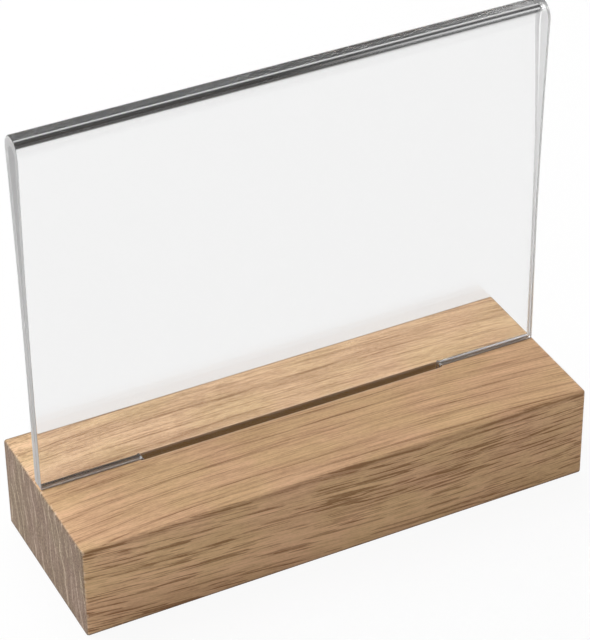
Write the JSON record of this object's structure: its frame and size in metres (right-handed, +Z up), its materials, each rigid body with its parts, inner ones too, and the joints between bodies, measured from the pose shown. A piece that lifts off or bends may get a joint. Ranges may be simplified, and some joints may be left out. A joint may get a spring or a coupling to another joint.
{
  "type": "table sign holder",
  "caption": "Clear folded acrylic sleeve standing by a tongue in a slot in a solid oak block, to display a card or menu on a table.",
  "frame": {"origin": "middle of the block's underside, on the surface that it stands on", "axes": "+X along the block to the viewer's right, +Y from the front to the back, +Z up"},
  "size_m": [0.1512, 0.054, 0.1369],
  "materials": {
    "oak": "fine sanded, unvarnished oak with straight grain along the block",
    "acrylic": "polished"
  },
  "bodies": {
    "base": {"oak_base": "oak"},
    "sleeve": {"acrylic_sleeve": "acrylic"}
  },
  "joints": [
    {"name": "sleeve_lift", "type": "slide", "parent": "base", "child": "sleeve", "axis": [0, 0, 1], "range_m": [0, 0.03]}
  ]
}
